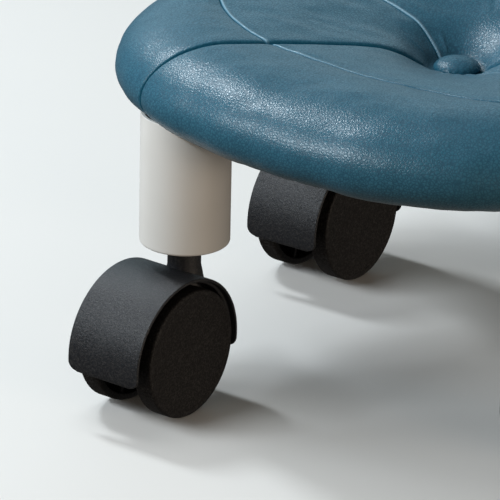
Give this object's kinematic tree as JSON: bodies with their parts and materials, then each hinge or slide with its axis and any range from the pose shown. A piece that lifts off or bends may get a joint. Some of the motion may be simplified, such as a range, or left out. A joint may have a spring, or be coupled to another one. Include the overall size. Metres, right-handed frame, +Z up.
{
  "type": "rolling stool",
  "caption": "Low rolling stool: a tufted leather cushion with a centre button on tube legs, each with a hooded twin-wheel swivel caster.",
  "frame": {"origin": "on the floor, under the centre button of the seat", "axes": "+Z up; the four legs stand on the diagonals of X and Y; the picture looks at the -Y and -X side"},
  "size_m": [0.248, 0.2552, 0.1393],
  "materials": {
    "leather": "teal-blue grained polyurethane leather, soft satin",
    "foam": "open-cell polyurethane foam",
    "plywood": "raw plywood",
    "leg_paint": "satin off-white powder coat",
    "steel": "zinc-plated steel",
    "grey_plastic": "grey moulded polypropylene",
    "black_nylon": "black moulded nylon, fine spark texture",
    "wheel_nylon": "black moulded nylon, smooth satin",
    "felt": "black non-woven cloth"
  },
  "bodies": {
    "seat": {"seat_cover": "leather", "foam_pad": "foam", "seat_base": "plywood", "seat_button": "leather", "dust_cover": "felt", "button_bolt": "steel", "button_nut": "steel", "rear_right_leg_tube": "leg_paint", "rear_right_leg_cap": "steel", "rear_right_leg_bolt": "steel", "rear_right_tee_nut": "steel", "rear_right_leg_plug": "grey_plastic", "rear_right_caster_stem": "steel", "rear_right_grip_ring": "steel", "rear_left_leg_tube": "leg_paint", "rear_left_leg_cap": "steel", "rear_left_leg_bolt": "steel", "rear_left_tee_nut": "steel", "rear_left_leg_plug": "grey_plastic", "rear_left_caster_stem": "steel", "rear_left_grip_ring": "steel", "front_left_leg_tube": "leg_paint", "front_left_leg_cap": "steel", "front_left_leg_bolt": "steel", "front_left_tee_nut": "steel", "front_left_leg_plug": "grey_plastic", "front_left_caster_stem": "steel", "front_left_grip_ring": "steel", "front_right_leg_tube": "leg_paint", "front_right_leg_cap": "steel", "front_right_leg_bolt": "steel", "front_right_tee_nut": "steel", "front_right_leg_plug": "grey_plastic", "front_right_caster_stem": "steel", "front_right_grip_ring": "steel"},
    "rear_right_caster": {"rear_right_caster_hood": "black_nylon", "rear_right_axle": "steel"},
    "rear_right_left_wheel": {"rear_right_wheel_left": "wheel_nylon"},
    "rear_right_right_wheel": {"rear_right_wheel_right": "wheel_nylon"},
    "rear_left_caster": {"rear_left_caster_hood": "black_nylon", "rear_left_axle": "steel"},
    "rear_left_left_wheel": {"rear_left_wheel_left": "wheel_nylon"},
    "rear_left_right_wheel": {"rear_left_wheel_right": "wheel_nylon"},
    "front_left_caster": {"front_left_caster_hood": "black_nylon", "front_left_axle": "steel"},
    "front_left_left_wheel": {"front_left_wheel_left": "wheel_nylon"},
    "front_left_right_wheel": {"front_left_wheel_right": "wheel_nylon"},
    "front_right_caster": {"front_right_caster_hood": "black_nylon", "front_right_axle": "steel"},
    "front_right_left_wheel": {"front_right_wheel_left": "wheel_nylon"},
    "front_right_right_wheel": {"front_right_wheel_right": "wheel_nylon"}
  },
  "joints": [
    {"name": "rear_right_swivel", "type": "hinge", "parent": "seat", "child": "rear_right_caster", "pos_m": [0.07637, 0.07637, 0.0615], "axis": [0, 0, 1], "continuous": true},
    {"name": "rear_right_left_wheel_spin", "type": "hinge", "parent": "rear_right_caster", "child": "rear_right_left_wheel", "pos_m": [0.07981, 0.09301, 0.025], "axis": [-0.9792, 0.2028, 0], "continuous": true},
    {"name": "rear_right_right_wheel_spin", "type": "hinge", "parent": "rear_right_caster", "child": "rear_right_right_wheel", "pos_m": [0.07981, 0.09301, 0.025], "axis": [-0.9792, 0.2028, 0], "continuous": true},
    {"name": "rear_left_swivel", "type": "hinge", "parent": "seat", "child": "rear_left_caster", "pos_m": [-0.07637, 0.07637, 0.0615], "axis": [0, 0, 1], "continuous": true},
    {"name": "rear_left_left_wheel_spin", "type": "hinge", "parent": "rear_left_caster", "child": "rear_left_left_wheel", "pos_m": [-0.07941, 0.05964, 0.025], "axis": [0.9839, -0.1788, 0], "continuous": true},
    {"name": "rear_left_right_wheel_spin", "type": "hinge", "parent": "rear_left_caster", "child": "rear_left_right_wheel", "pos_m": [-0.07941, 0.05964, 0.025], "axis": [0.9839, -0.1788, 0], "continuous": true},
    {"name": "front_left_swivel", "type": "hinge", "parent": "seat", "child": "front_left_caster", "pos_m": [-0.07637, -0.07637, 0.0615], "axis": [0, 0, 1], "continuous": true},
    {"name": "front_left_left_wheel_spin", "type": "hinge", "parent": "front_left_caster", "child": "front_left_left_wheel", "pos_m": [-0.07981, -0.09301, 0.025], "axis": [0.9792, -0.2028, 0], "continuous": true},
    {"name": "front_left_right_wheel_spin", "type": "hinge", "parent": "front_left_caster", "child": "front_left_right_wheel", "pos_m": [-0.07981, -0.09301, 0.025], "axis": [0.9792, -0.2028, 0], "continuous": true},
    {"name": "front_right_swivel", "type": "hinge", "parent": "seat", "child": "front_right_caster", "pos_m": [0.07637, -0.07637, 0.0615], "axis": [0, 0, 1], "continuous": true},
    {"name": "front_right_left_wheel_spin", "type": "hinge", "parent": "front_right_caster", "child": "front_right_left_wheel", "pos_m": [0.07941, -0.05964, 0.025], "axis": [-0.9839, 0.1788, 0], "continuous": true},
    {"name": "front_right_right_wheel_spin", "type": "hinge", "parent": "front_right_caster", "child": "front_right_right_wheel", "pos_m": [0.07941, -0.05964, 0.025], "axis": [-0.9839, 0.1788, 0], "continuous": true}
  ]
}
